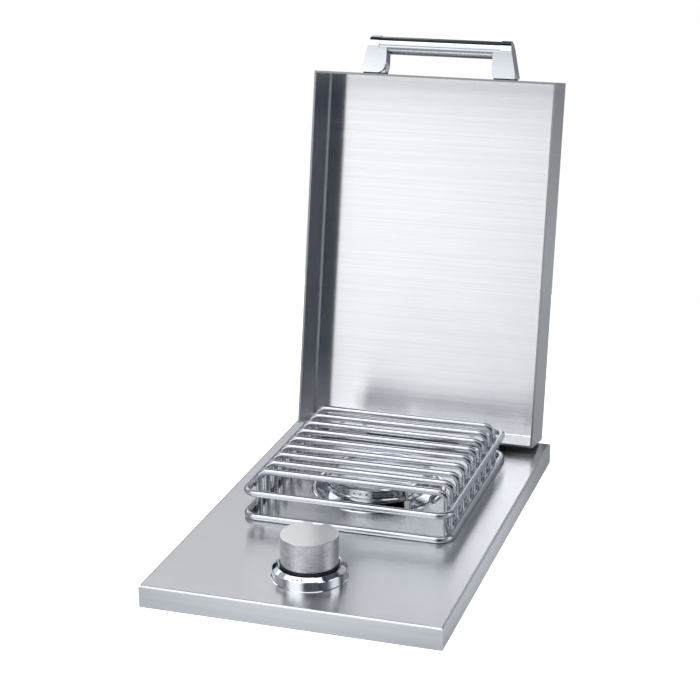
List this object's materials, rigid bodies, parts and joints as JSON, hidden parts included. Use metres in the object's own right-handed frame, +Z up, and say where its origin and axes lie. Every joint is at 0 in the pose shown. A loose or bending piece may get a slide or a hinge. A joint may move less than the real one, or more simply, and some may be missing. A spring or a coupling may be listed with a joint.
{
  "type": "built-in side burner",
  "caption": "Drop-in outdoor gas side burner: one round burner under a raised rod grate, a control knob on the flat deck and a hinged lid with a bar handle, standing open.",
  "frame": {"origin": "centre of the counter cut-out, in the plane of the counter top on which the deck's turned-in flange rests", "axes": "+X to the right as the cook sees it, +Y back towards the lid's hinges, +Z up"},
  "size_m": [0.33, 0.6108, 0.6053],
  "materials": {
    "deck_sheet": "brushed stainless",
    "lid_sheet": "brushed stainless",
    "box_sheet": "plain stainless",
    "bowl": "polished stainless",
    "burner": "polished",
    "burner_casting": "polished",
    "bracket_sheet": "plain stainless",
    "fastener": "plain steel",
    "ceramic": "white glazed ceramic",
    "wire": "bright wire",
    "black_plastic": "matte",
    "lead": "matte silicone",
    "brass": "machined",
    "stem_steel": "machined",
    "bezel": "bright chrome",
    "knob": "brushed",
    "rod": "satin polished",
    "hinge_steel": "satin",
    "handle": "satin chrome",
    "pad": "matte"
  },
  "bodies": {
    "base": {"deck": "deck_sheet", "deck_studs": "fastener", "burner_box": "box_sheet", "box_nuts": "fastener", "drip_bowl": "bowl", "burner_base": "burner_casting", "burner_port_ring": "burner", "burner_support": "bracket_sheet", "burner_screws": "fastener", "support_screws": "fastener", "electrode_ceramic": "ceramic", "electrode_pin": "wire", "electrode_clip": "bracket_sheet", "electrode_screw": "fastener", "igniter_module": "black_plastic", "igniter_screws": "fastener", "igniter_lead": "lead", "valve_body": "brass", "valve_bonnet": "brass", "orifice": "brass", "pipe_nut": "brass", "gas_pipe": "brass", "inlet_fitting": "brass", "inlet_locknut": "brass", "bezel": "bezel", "valve_screws": "fastener", "hinge_deck_leaves": "hinge_steel", "hinge_pins": "hinge_steel", "hinge_deck_screws": "fastener", "hinge_deck_nuts": "fastener"},
    "lid": {"lid_shell": "lid_sheet", "hinge_lid_leaves": "hinge_steel", "hinge_rivets": "fastener", "handle_bar": "handle", "handle_bracket_left": "handle", "handle_bracket_right": "handle", "handle_pads": "pad", "handle_screws": "fastener"},
    "grate": {"grate_lower_ring": "rod", "grate_upper_ring": "rod", "grate_bars": "rod"},
    "gas_plug": {"valve_plug": "brass", "valve_spring": "wire"},
    "knob": {"valve_stem": "stem_steel", "knob_shell": "knob", "knob_core": "black_plastic"},
    "cap": {"burner_cap": "burner"},
    "shutter": {"air_shutter": "bracket_sheet"}
  },
  "joints": [
    {"name": "lid_hinge", "type": "hinge", "parent": "base", "child": "lid", "pos_m": [0, 0.2119, 0.0295], "axis": [1, 0, 0], "range_deg": [0, 101]},
    {"name": "grate_lift", "type": "slide", "parent": "base", "child": "grate", "axis": [0, 0, 1], "range_m": [0, 0.009]},
    {"name": "cap_lift", "type": "slide", "parent": "base", "child": "cap", "axis": [0, 0, 1], "range_m": [0, 0.012]},
    {"name": "knob_turn", "type": "hinge", "parent": "base", "child": "gas_plug", "pos_m": [0, -0.183, 0], "axis": [0, 0, 1], "range_deg": [0, 210]},
    {"name": "knob_push", "type": "slide", "parent": "gas_plug", "child": "knob", "axis": [0, 0, -1], "range_m": [0, 0.003], "stiffness_N_per_m": 2000, "springref_m": -0.003, "deforming": ["valve_spring"]},
    {"name": "air_shutter_turn", "type": "hinge", "parent": "base", "child": "shutter", "pos_m": [0, -0.1165, -0.018], "axis": [0, 1, 0], "range_deg": [0, 75]}
  ]
}
